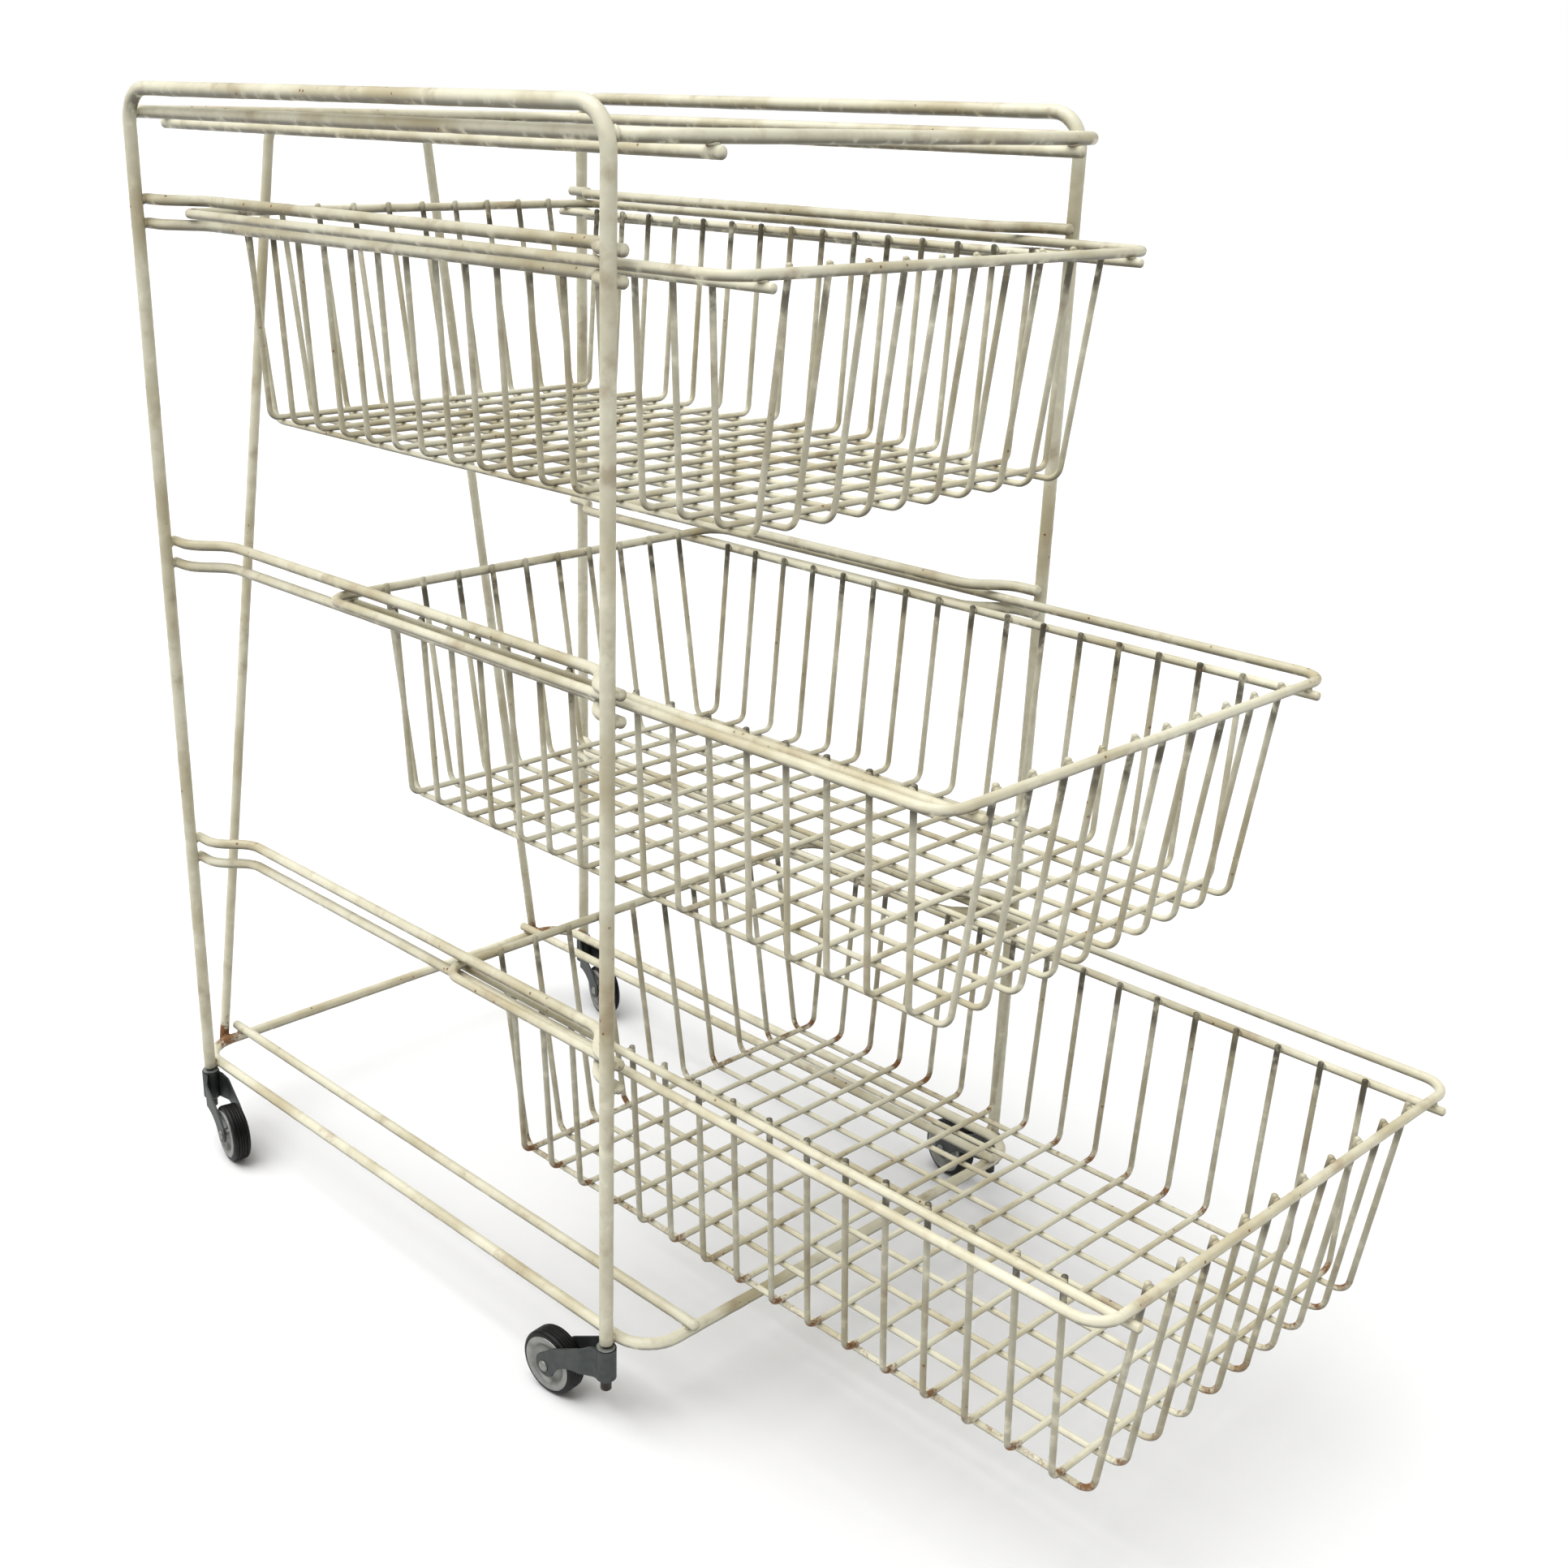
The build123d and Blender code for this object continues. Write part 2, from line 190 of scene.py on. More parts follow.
class RodMesh:
    """Gathers rods into one mesh with a rust value and a soot_and_shade value per vertex, the second
    holding painted shade and painted shadow as well as sooty welds.
    """

    def __init__(self, name, body, replaced=()):
        self.name = name
        self.body = body
        self.replaced = replaced
        self.mesh = bmesh.new()
        layers = self.mesh.verts.layers.float
        for value in ("rust", "soot_and_shade"):
            layers.new(value)
        self.rust, self.soot_and_shade = layers["rust"], layers["soot_and_shade"]

    def ring(self, centre, side, up, radius, sides, wear_and_shade):
        """One ring of vertices, with the paint's lumps in its outline."""
        verts = []
        for step in range(sides):
            angle = 2 * pi * step / sides
            spoke = (side * cos(angle) + up * sin(angle)) * radius
            swell = 1.0
            for seed, (height, size) in enumerate((FINE_LUMPS, BROAD_LUMPS), 1):
                swell += height * wobble(centre + spoke, size, seed)
            vert = self.mesh.verts.new(centre + spoke * swell)
            # the callback gives rust and a darkening that includes painted shade and painted shadow
            vert[self.rust], vert[self.soot_and_shade] = wear_and_shade(vert.co)
            verts.append(vert)
        return verts

    def rod(self, corners, radius, sides, wear_and_shade, bend=None, closed=False):
        """A round rod along the corners, with rounded ends where it isn't closed."""
        corners = [Vector(corner) for corner in corners]
        if bend:
            corners = rounded(corners, bend, closed)
        route = divided(corners, closed)
        frames = ring_frames(route, closed)

        def end_ring(end, inwards, share):
            along, side, up = frames[end]
            centre = route[end] + along * inwards * radius * END_LENGTH * share
            return self.ring(centre, side, up, radius * end_width(share), sides, wear_and_shade)

        stations = list(zip(route, frames))
        if not closed:
            stations = stations[1:-1]
        rings = [self.ring(point, side, up, radius, sides, wear_and_shade) for point, (_, side, up) in stations]
        if closed:
            pairs = zip(rings, rings[1:] + rings[:1])
        else:
            first = [end_ring(0, 1, share) for share in END_SHARES]
            last = [end_ring(-1, -1, share) for share in reversed(END_SHARES)]
            rings = first + rings + last
            pairs = zip(rings, rings[1:])
            self.mesh.faces.new(list(reversed(rings[0])))
            self.mesh.faces.new(rings[-1])
        for one, two in pairs:
            for step in range(sides):
                after = (step + 1) % sides
                self.mesh.faces.new((one[step], one[after], two[after], two[step]))

    def bead(self, centre, size, seed, rust, soot_and_shade=0.0):
        """A lumpy weld bead; size is its half extent along X, Y and Z."""
        made = bmesh.ops.create_icosphere(self.mesh, subdivisions=2, radius=1.0)
        height, lump_size = BEAD_LUMPS
        for vert in made["verts"]:
            swell = 1 + height * wobble(vert.co, lump_size, seed)
            vert.co = Vector(c * s * swell for c, s in zip(vert.co, size)) + centre
            vert[self.rust] = rust
            vert[self.soot_and_shade] = soot_and_shade

    def finish(self, material):
        """Turn the rods into an object that rides on its body."""
        bmesh.ops.recalc_face_normals(self.mesh, faces=self.mesh.faces)
        made = made_object(self.name, self.mesh, material)
        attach(made, self.body)
        if self.replaced:
            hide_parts(*self.replaced)


def middle_of(node):
    low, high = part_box(node)
    return (low + high) / 2


# ---------------------------------------------------------------- materials

NOISE_ROUGHNESS = 0.55


class Graph:
    """A material's node tree with short ways to add the nodes that are used here."""

    def __init__(self, name):
        self.material = bpy.data.materials.new(name)
        self.material.use_nodes = True
        self.tree = self.material.node_tree
        self.shader = self.tree.nodes["Principled BSDF"]
        self.coordinates = self.tree.nodes.new("ShaderNodeTexCoord").outputs["Object"]

    def link(self, source, target):
        if isinstance(source, (int, float)):
            target.default_value = source
        elif isinstance(source, tuple):
            target.default_value = (*source, 1.0)
        else:
            self.tree.links.new(source, target)

    def math(self, operation, first, second):
        node = self.tree.nodes.new("ShaderNodeMath")
        node.operation = operation
        self.link(first, node.inputs[0])
        self.link(second, node.inputs[1])
        return node.outputs[0]

    def noise(self, size, detail):
        """Noise with features of the given size in metres, from 0 to 1."""
        node = self.tree.nodes.new("ShaderNodeTexNoise")
        self.link(self.coordinates, node.inputs["Vector"])
        node.inputs["Scale"].default_value = 1 / size
        node.inputs["Detail"].default_value = detail
        node.inputs["Roughness"].default_value = NOISE_ROUGHNESS
        return node.outputs["Fac"]

    def specks(self, size):
        """Distance from scattered points, 0 at each."""
        node = self.tree.nodes.new("ShaderNodeTexVoronoi")
        self.link(self.coordinates, node.inputs["Vector"])
        node.inputs["Scale"].default_value = 1 / size
        return node.outputs["Distance"]

    def attribute(self, name):
        node = self.tree.nodes.new("ShaderNodeAttribute")
        node.attribute_name = name
        return node.outputs["Fac"]

    def facing_down(self):
        """1 on surfaces that face the floor, about 0.2 on upright ones, 0 on those that face up."""
        geometry = self.tree.nodes.new("ShaderNodeNewGeometry")
        split = self.tree.nodes.new("ShaderNodeSeparateXYZ")
        self.link(geometry.outputs["Normal"], split.inputs[0])
        return self.step(self.math("MULTIPLY", split.outputs["Z"], -1.0), -0.35, 0.75)

    def step(self, value, low, high):
        """0 below low, 1 above high, smooth in between."""
        node = self.tree.nodes.new("ShaderNodeMapRange")
        node.interpolation_type = "SMOOTHSTEP"
        self.link(value, node.inputs["Value"])
        node.inputs["From Min"].default_value = low
        node.inputs["From Max"].default_value = high
        return node.outputs["Result"]

    def mix(self, share, first, second):
        node = self.tree.nodes.new("ShaderNodeMix")
        node.data_type = "RGBA"
        self.link(share, node.inputs["Factor"])
        self.link(first, node.inputs["A"])
        self.link(second, node.inputs["B"])
        return node.outputs["Result"]

    def blend(self, share, first, second):
        """Mix two plain values."""
        node = self.tree.nodes.new("ShaderNodeMix")
        self.link(share, node.inputs["Factor"])
        self.link(first, node.inputs["A"])
        self.link(second, node.inputs["B"])
        return node.outputs["Result"]

    def bump(self, height, distance, strength):
        node = self.tree.nodes.new("ShaderNodeBump")
        node.inputs["Distance"].default_value = distance
        node.inputs["Strength"].default_value = strength
        self.link(height, node.inputs["Height"])
        self.link(node.outputs["Normal"], self.shader.inputs["Normal"])


CREAM = (0.79, 0.76, 0.59)
CREAM_AGED = (0.53, 0.465, 0.295)
# dark brown used for grime and for the painted shade and painted shadow on the enamel
GRIME_AND_SHADE = (0.055, 0.046, 0.024)
STAIN = (0.36, 0.26, 0.15)
RUST_DARK = (0.06, 0.026, 0.010)
RUST_BRIGHT = (0.36, 0.165, 0.06)
CASTER_GRIME = (0.035, 0.03, 0.02)
RUBBER_BLACK = (0.0035, 0.003, 0.003)
RUBBER_DUSTY = (0.012, 0.011, 0.010)
FLOOR_PALE = (0.86, 0.86, 0.86)
FLOOR_PALEST = (0.90, 0.90, 0.90)


def enamel():
    """Old ivory enamel: yellowed in patches, with painted shade beneath and painted shadow under the
    basket rims, rusted where the vertex value says.
    """
    g = Graph("cream_enamel")
    patches = g.noise(60 * MM, 4.0)
    mottle = g.noise(9 * MM, 4.0)
    fine = g.noise(1.6 * MM, 3.0)
    colour = g.mix(g.step(patches, 0.38, 0.72), CREAM, CREAM_AGED)
    colour = g.mix(g.math("MULTIPLY", g.step(mottle, 0.5, 0.8), 0.45), colour, CREAM_AGED)
    stained = g.math("MULTIPLY", g.step(g.noise(24 * MM, 5.0), 0.56, 0.74), 0.6)
    colour = g.mix(stained, colour, STAIN)
    # painted shade: surfaces that face down, and upright ones a little, go towards dark brown
    below = g.math("MULTIPLY", g.facing_down(), g.step(mottle, 0.15, 0.5))
    colour = g.mix(g.math("MULTIPLY", below, 0.92), colour, GRIME_AND_SHADE)
    # painted shadow under the rims, painted shade on the standing wires, sooty welds and dark leg
    # ends all come from this vertex value
    soot_and_shade = g.math("MULTIPLY", g.attribute("soot_and_shade"), g.step(mottle, 0.2, 0.55))
    colour = g.mix(soot_and_shade, colour, GRIME_AND_SHADE)
    ragged = g.math("ADD", g.math("MULTIPLY", mottle, 0.7), g.math("MULTIPLY", fine, 0.45))
    eaten = g.step(g.math("ADD", g.attribute("rust"), ragged), 1.0, 1.22)
    dots = g.math("SUBTRACT", 1.0, g.step(g.specks(7 * MM), 0.06, 0.16))
    dots = g.math("MULTIPLY", dots, g.step(patches, 0.5, 0.62))
    rusty = g.math("MAXIMUM", eaten, dots)
    rust_colour = g.mix(fine, RUST_DARK, RUST_BRIGHT)
    g.link(g.mix(rusty, colour, rust_colour), g.shader.inputs["Base Color"])
    g.link(g.blend(rusty, g.blend(mottle, 0.30, 0.5), 0.9), g.shader.inputs["Roughness"])
    relief = g.math("ADD", g.math("MULTIPLY", mottle, 0.6), g.math("MULTIPLY", fine, 0.25))
    relief = g.math("ADD", relief, g.math("MULTIPLY", g.math("MULTIPLY", rusty, fine), 0.8))
    g.bump(relief, 0.35 * MM, 0.8)
    return g.material


def zinc(name, dark, light):
    """Dull plated steel: mottled between two colours, with grime in patches."""
    g = Graph(name)
    mottle = g.noise(5 * MM, 5.0)
    fine = g.noise(0.8 * MM, 3.0)
    colour = g.mix(g.step(mottle, 0.2, 0.8), dark, light)
    grime = g.math("MULTIPLY", g.step(g.noise(11 * MM, 4.0), 0.55, 0.8), 0.3)
    colour = g.mix(grime, colour, CASTER_GRIME)
    g.link(colour, g.shader.inputs["Base Color"])
    g.link(g.blend(mottle, 0.38, 0.62), g.shader.inputs["Roughness"])
    g.shader.inputs["Metallic"].default_value = 0.75
    g.bump(g.math("ADD", mottle, g.math("MULTIPLY", fine, 0.4)), 0.05 * MM, 0.5)
    return g.material


def rubber():
    """Black tyre rubber, dusty in patches."""
    g = Graph("tyre_rubber")
    mottle = g.noise(6 * MM, 4.0)
    fine = g.noise(0.7 * MM, 3.0)
    colour = g.mix(g.step(mottle, 0.5, 0.8), RUBBER_BLACK, RUBBER_DUSTY)
    g.link(colour, g.shader.inputs["Base Color"])
    g.link(g.blend(mottle, 0.32, 0.6), g.shader.inputs["Roughness"])
    g.shader.inputs["Specular IOR Level"].default_value = 0.25
    g.bump(g.math("ADD", mottle, fine), 0.06 * MM, 0.5)
    return g.material


def floor_paint():
    """Pale matt studio floor with a faint unevenness."""
    g = Graph("studio_floor")
    colour = g.mix(g.noise(0.8, 2.0), FLOOR_PALE, FLOOR_PALEST)
    g.link(colour, g.shader.inputs["Base Color"])
    g.shader.inputs["Roughness"].default_value = 0.95
    g.shader.inputs["Specular IOR Level"].default_value = 0.1
    return g.material


ENAMEL = enamel()
FORK_ZINC = zinc("fork_zinc", (0.055, 0.062, 0.060), (0.085, 0.094, 0.090))
HUB_STEEL = zinc("hub_steel", (0.24, 0.245, 0.23), (0.36, 0.365, 0.345))
PIN_STEEL = zinc("pin_steel", (0.02, 0.018, 0.016), (0.09, 0.08, 0.07))
TYRE_RUBBER = rubber()


# ---------------------------------------------------------------- the frame's rods

def near(point, place, reach):
    """1 at a place, fading to 0 at the given distance."""
    return max(0.0, 1 - (point - place).length / reach)


legs = []
for side_name in ("left", "right"):
    low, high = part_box(f"arch_{side_name}")
    radius = (high.x - low.x) / 2
    centre_x = (low.x + high.x) / 2
    legs += [(centre_x, low.y + radius, radius), (centre_x, high.y - radius, radius)]

LEG_RADIUS = legs[0][2]
BOTTOM_LOOP_Z = middle_of("bottom_loop").z
TOP_LOOP_Z = middle_of("top_loop").z
LEG_END_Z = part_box("pin_collars")[1].z
BRACE_LOW, BRACE_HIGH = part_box("back_brace")
brace_feet = [Vector((x, BRACE_LOW.y, BOTTOM_LOOP_Z)) for x in (BRACE_LOW.x, BRACE_HIGH.x)]

BRACE_RUST = 0.75             # at the brace's feet, fading to nothing at the reach
BRACE_RUST_REACH = 35 * MM
LEG_RUST = 0.45               # where the bottom loop meets the legs
LEG_RUST_REACH = 22 * MM
LEG_END_DARK_REACH = 5 * MM       # how far the darkening round the lower end of each leg reaches
BRACE_FOOT_SHARE = 0.975      # how far out to the brace's end the bead at its foot sits
BRACE_BEAD_SPACING = 0.7 * BRACE_TOP_HALF


def frame_wear(point):
    """Rust near the low welds and the brace's feet, darkening round the leg ends."""
    rust = max(BRACE_RUST * near(point, foot, BRACE_RUST_REACH) for foot in brace_feet)
    soot_and_shade = 0.0
    for x, y, _ in legs:
        low_weld = Vector((x, y, BOTTOM_LOOP_Z))
        leg_end = Vector((x, y, LEG_END_Z))
        rust = max(rust, LEG_RUST * near(point, low_weld, LEG_RUST_REACH))
        soot_and_shade = max(soot_and_shade, near(point, leg_end, LEG_END_DARK_REACH))
    return rust, soot_and_shade


def arches():
    """The two bent side arches, each leg, top bar and leg."""
    for side_name in ("left", "right"):
        node = f"arch_{side_name}"
        low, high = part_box(node)
        x = (low.x + high.x) / 2
        front, back, top = low.y + LEG_RADIUS, high.y - LEG_RADIUS, high.z - LEG_RADIUS
        rods = RodMesh(f"bent_{node}", "frame", [node])
        corners = [(x, front, low.z), (x, front, top), (x, back, top), (x, back, low.z)]
        rods.rod(corners, LEG_RADIUS, 20, frame_wear, ARCH_BEND)
        rods.finish(ENAMEL)


PAIR_HEIGHTS = [middle_of(f"{basket}_rim").z for basket in BASKETS]
RAIL_HEIGHTS = [
    middle + offset for middle in PAIR_HEIGHTS for offset in (-RAIL_PAIR_GAP / 2, RAIL_PAIR_GAP / 2)
]


def rails():
    """Six rails a side, jogged outwards at both ends to reach the legs."""
    for side_name, side in (("left", -1), ("right", 1)):
        node = f"rails_{side_name}"
        low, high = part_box(node)
        radius = high.z - max(RAIL_HEIGHTS)
        weld_x = (high.x if side > 0 else -low.x) - radius
        plan = [
            (weld_x, low.y), (weld_x, low.y + RAIL_JOG_END),
            (weld_x - RAIL_INSET, low.y + RAIL_JOG_START),
            (weld_x - RAIL_INSET, high.y - RAIL_JOG_START),
            (weld_x, high.y - RAIL_JOG_END), (weld_x, high.y),
        ]
        rods = RodMesh(f"bent_{node}", "frame", [node])
        for z in RAIL_HEIGHTS:
            corners = [(side * x, y, z) for x, y in plan]
            rods.rod(corners, radius, 14, frame_wear, RAIL_BEND)
        rods.finish(ENAMEL)


def closed_ring(low, high, radius):
    """Corners of a level rectangle of rod that fills a box."""
    x0, x1 = low.x + radius, high.x - radius
    y0, y1 = low.y + radius, high.y - radius
    z = (low.z + high.z) / 2
    return [(x0, y0, z), (x1, y0, z), (x1, y1, z), (x0, y1, z)]


def loops():
    """The top and bottom loops that hold the arches apart."""
    for node in ("top_loop", "bottom_loop"):
        low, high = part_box(node)
        radius = (high.z - low.z) / 2
        rods = RodMesh(f"bent_{node}", "frame", [node])
        rods.rod(closed_ring(low, high, radius), radius, 16, frame_wear, LOOP_CORNER, closed=True)
        rods.finish(ENAMEL)


def straight_pair(node, body, wear_and_shade):
    """Two parallel rods from front to back."""
    low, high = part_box(node)
    radius = (high.z - low.z) / 2
    z = (low.z + high.z) / 2
    rods = RodMesh(f"cut_{node}", body, [node])
    for x in (low.x + radius, high.x - radius):
        rods.rod([(x, low.y, z), (x, high.y, z)], radius, 14, wear_and_shade)
    rods.finish(ENAMEL)


def brace():
    """The tapering arch behind the loops."""
    radius = (BRACE_HIGH.y - BRACE_LOW.y) / 2
    y = (BRACE_LOW.y + BRACE_HIGH.y) / 2
    foot = BRACE_HIGH.x - radius
    top = BRACE_HIGH.z - radius
    rods = RodMesh("bent_back_brace", "frame", ["back_brace"])
    corners = [
        (-foot, y, BRACE_LOW.z), (-BRACE_TOP_HALF, y, top),
        (BRACE_TOP_HALF, y, top), (foot, y, BRACE_LOW.z),
    ]
    rods.rod(corners, radius, 14, frame_wear, BRACE_BEND)
    rods.finish(ENAMEL)


def frame_welds():
    """Beads where rods cross: loops and rails on the legs, long rods and brace on the loops."""
    welds = RodMesh("frame_welds", "frame")
    seeds = count(1)
    for x, y, radius in legs:
        inner = x - radius if x > 0 else x + radius
        for z, rust in ((BOTTOM_LOOP_Z, 0.55), (TOP_LOOP_Z, 0.2)):
            welds.bead(Vector((inner, y, z)), LOOP_ON_LEG_BEAD, next(seeds), rust)
        for z in RAIL_HEIGHTS:
            welds.bead(Vector((inner, y, z)), RAIL_ON_LEG_BEAD, next(seeds), 0.25)
    for loop, pair, sign in (("top_loop", "top_rods", -1), ("bottom_loop", "bottom_rods", 1)):
        loop_low, loop_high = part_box(loop)
        low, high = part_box(pair)
        radius = (high.z - low.z) / 2
        loop_radius = (loop_high.z - loop_low.z) / 2
        z = middle_of(loop).z + sign * loop_radius
        for x in (low.x + radius, high.x - radius):
            for y in (loop_low.y + loop_radius, loop_high.y - loop_radius):
                welds.bead(Vector((x, y, z)), ROD_ON_LOOP_BEAD, next(seeds), 0.5)
    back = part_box("bottom_loop")[1].y
    for foot in brace_feet:
        place = Vector((foot.x * BRACE_FOOT_SHARE, back, BOTTOM_LOOP_Z))
        welds.bead(place, BRACE_FOOT_BEAD, next(seeds), 0.95)
    for x in (-BRACE_BEAD_SPACING, 0.0, BRACE_BEAD_SPACING):
        welds.bead(Vector((x, back, TOP_LOOP_Z)), BRACE_TOP_BEAD, next(seeds), 0.3)
    welds.finish(ENAMEL)


# ---------------------------------------------------------------- baskets

WIRE_RUST = 0.12              # all along a wire, times the basket's own share
FOOT_RUST = 0.5               # more of it along the foot of the walls
RIM_RUST = 0.14
BEAD_RUST = 0.3
BEAD_SOOT = 0.4
FOOT_STEP = 3 * MM            # the foot's rust is worst this high over the floor wires
FOOT_REACH = 16 * MM          # and fades over this height
EDGE_STEP = 6 * MM            # it is worst this far inside the floor's edge
EDGE_REACH = 20 * MM          # and fades over this width
FOOT_HEIGHT = 5 * MM          # wires lower than this over the floor count as floor wires
RIM_SHADOW_REACH = 27 * MM          # how far under the rim the painted shadow of the rim ends
RIM_SHADOW_FADE = 13 * MM           # the length over which it fades
RIM_SHADOW_MOST = 0.97
RIM_SHADOW_PATCHES = (0.92, 0.45, 30 * MM)   # middle share, how much it varies, and size of a patch
RIM_TOP = 3 * MM              # a wire's end above this height over the rim's middle is out of that painted shadow, and only a little darkened
RIM_TOP_DARKENING = 0.2
STRAY = 0.5 * MM              # how far a wire's bends stray from the straight
STRAY_SIZE = 11 * MM
CROSS_BEAD_STEP = 0.4 * MM    # how far inside the side rod a cross wire's bead has its middle
CROSS_BEAD_LIFT = 0.5 * MM
LONG_BEAD_LIFT = 0.6 * MM


def spread(low, high, number):
    """Evenly spaced values from low to high, both included."""
    return [low + (high - low) * index / (number - 1) for index in range(number)]


def wire_wear_and_shade(basket):
    """Wear and painted shade of a basket's wires: rusty along the foot of the walls, with painted
    shadow just under the rim and painted shade on the standing wires.
    """
    side_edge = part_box(f"{basket}_cross_wires")[1].x - CROSS_INSET - EDGE_STEP
    low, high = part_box(f"{basket}_long_wires")
    front_edge = low.y + FRONT_INSET + EDGE_STEP
    back_edge = high.y - BACK_INSET - EDGE_STEP
    floor_z = low.z + 2 * WIRE_RADIUS
    rim_z = middle_of(f"{basket}_rim").z

    # painted shadow of the rim on the wires just under it, stronger and weaker in patches
    def rim_shadow_at(point):
        if point.z > rim_z + RIM_TOP:
            return RIM_TOP_DARKENING
        share, variation, size = RIM_SHADOW_PATCHES
        under_rim = min(1.0, max(0.0, (point.z - rim_z + RIM_SHADOW_REACH) / RIM_SHADOW_FADE))
        return under_rim * (share + variation * wobble(Vector((point.x, point.y, 0)), size, 6))

    def wear_and_shade(point):
        from_foot = abs(point.z - floor_z - FOOT_STEP)
        from_side = abs(abs(point.x) - side_edge)
        from_edge = min(from_side, abs(point.y - front_edge), abs(point.y - back_edge))
        at_foot = max(0.0, 1 - from_foot / FOOT_REACH)
        at_edge = max(0.0, 1 - from_edge / EDGE_REACH)
        rust = RUST_OF[basket] * (WIRE_RUST + FOOT_RUST * at_foot * at_edge)
        if point.z < floor_z + FOOT_HEIGHT:
            return rust, 0.0
        # painted shade: standing wires are at least as dark as the basket's share, floor wires are
        # left out
        return rust, max(WALL_SHADE_OF[basket], min(RIM_SHADOW_MOST, rim_shadow_at(point)))

    return wear_and_shade


def basket_rim(basket, wear_and_shade):
    node = f"{basket}_rim"
    low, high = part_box(node)
    radius = (high.z - low.z) / 2
    rim = RodMesh(f"bent_{node}", basket, [node])
    rim.rod(closed_ring(low, high, radius), radius, 14, wear_and_shade, RIM_CORNER, closed=True)
    rim.finish(ENAMEL)


def cross_wires(basket, wear_and_shade, beads, seeds):
    """Wires from side to side, bent up at both sides and welded to the side rods."""
    node = f"{basket}_cross_wires"
    low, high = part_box(node)
    rod_low, rod_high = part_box(f"{basket}_side_rods")
    rod_z = (rod_low.z + rod_high.z) / 2
    rim_z = middle_of(f"{basket}_rim").z
    floor, top = low.z + WIRE_RADIUS, high.z
    reach = high.x - WIRE_RADIUS
    taper = CROSS_INSET * (top - floor) / (rod_z - floor)
    bead_x = rod_high.x - (rod_high.z - rod_low.z) - CROSS_BEAD_STEP
    wires = RodMesh(f"bent_{node}", basket, [node])
    for y in spread(low.y + WIRE_RADIUS, high.y - WIRE_RADIUS, CROSS_WIRE_COUNT):
        seed = next(seeds)
        stray = STRAY * wobble(Vector((0, y, rim_z)), STRAY_SIZE, 3)
        corners = [
            (-reach, y, top), (-reach + taper, y + stray, floor),
            (reach - taper, y - stray, floor), (reach, y, top),
        ]
        wires.rod(corners, WIRE_RADIUS, 10, wear_and_shade, CROSS_WIRE_BEND)
        for x in (-bead_x, bead_x):
            place = Vector((x, y, rod_z + CROSS_BEAD_LIFT))
            beads.bead(place, CROSS_WIRE_BEAD, seed, BEAD_RUST * RUST_OF[basket], BEAD_SOOT)
    wires.finish(ENAMEL)


def long_wires(basket, wear_and_shade, beads, seeds):
    """Wires from front to back, bent up at both ends and welded inside the rim."""
    node = f"{basket}_long_wires"
    low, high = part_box(node)
    rim_low, rim_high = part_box(f"{basket}_rim")
    rim_z = (rim_low.z + rim_high.z) / 2
    rim_rod = rim_high.z - rim_low.z
    floor, top = low.z + WIRE_RADIUS, high.z
    front, back = low.y + WIRE_RADIUS, high.y - WIRE_RADIUS
    share = (top - floor) / (rim_z - floor)
    wires = RodMesh(f"bent_{node}", basket, [node])
    for x in spread(low.x + WIRE_RADIUS, high.x - WIRE_RADIUS, LONG_WIRE_COUNT):
        seed = next(seeds)
        stray = STRAY * wobble(Vector((x, 0, rim_z)), STRAY_SIZE, 4)
        corners = [
            (x, front, top), (x + stray, front + FRONT_INSET * share, floor),
            (x - stray, back - BACK_INSET * share, floor), (x, back, top),
        ]
        wires.rod(corners, WIRE_RADIUS, 10, wear_and_shade, LONG_WIRE_BEND)
        for y in (rim_low.y + rim_rod, rim_high.y - rim_rod):
            place = Vector((x, y, rim_z + LONG_BEAD_LIFT))
            beads.bead(place, LONG_WIRE_BEAD, seed, BEAD_RUST * RUST_OF[basket], BEAD_SOOT)
    wires.finish(ENAMEL)


def side_rod_beads(basket, beads, seeds):
    """Beads where the side rods meet the rim's front and back."""
    low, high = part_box(f"{basket}_rim")
    radius = (high.z - low.z) / 2
    inwards = radius + SIDE_ROD_INSET
    for x in (low.x + inwards, high.x - inwards):
        for y in (low.y + radius, high.y - radius):
            place = Vector((x, y, low.z))
            beads.bead(place, SIDE_ROD_BEAD, next(seeds), BEAD_RUST * RUST_OF[basket])


def basket_pieces(basket, seeds):
    """Rim, side rods, wires and weld beads of one basket, which slide together."""
    def rim_wear(point):
        return RIM_RUST * RUST_OF[basket], 0.0

    basket_rim(basket, rim_wear)
    straight_pair(f"{basket}_side_rods", basket, rim_wear)
    beads = RodMesh(f"{basket}_welds", basket)
    cross_wires(basket, wire_wear_and_shade(basket), beads, seeds)
    long_wires(basket, wire_wear_and_shade(basket), beads, seeds)
    side_rod_beads(basket, beads, seeds)
    beads.finish(ENAMEL)


# ---------------------------------------------------------------- casters

EDGE_BEVEL = 0.3 * MM
SHARP_ANGLE = radians(50)     # only edges sharper than this are bevelled


def lathe(name, profile, steps, joint, material):
    """Revolve a closed profile of (along the axle, radius) about a wheel's axis."""
    centre = Vector(joint["pos_m"])
    axle = Vector(joint["axis"]).normalized()
    up = Vector((0, 0, 1))
    flat = axle.cross(up)
    mesh = bmesh.new()
    rings = []
    for step in range(steps):
        angle = 2 * pi * step / steps
        spoke = up * cos(angle) + flat * sin(angle)
        rings.append([mesh.verts.new(centre + axle * a + spoke * r) for a, r in profile])
    for one, two in zip(rings, rings[1:] + rings[:1]):
        for index in range(len(profile)):
            after = (index + 1) % len(profile)
            mesh.faces.new((one[index], one[after], two[after], two[index]))
    bmesh.ops.recalc_face_normals(mesh, faces=mesh.faces)
    return made_object(name, mesh, material)


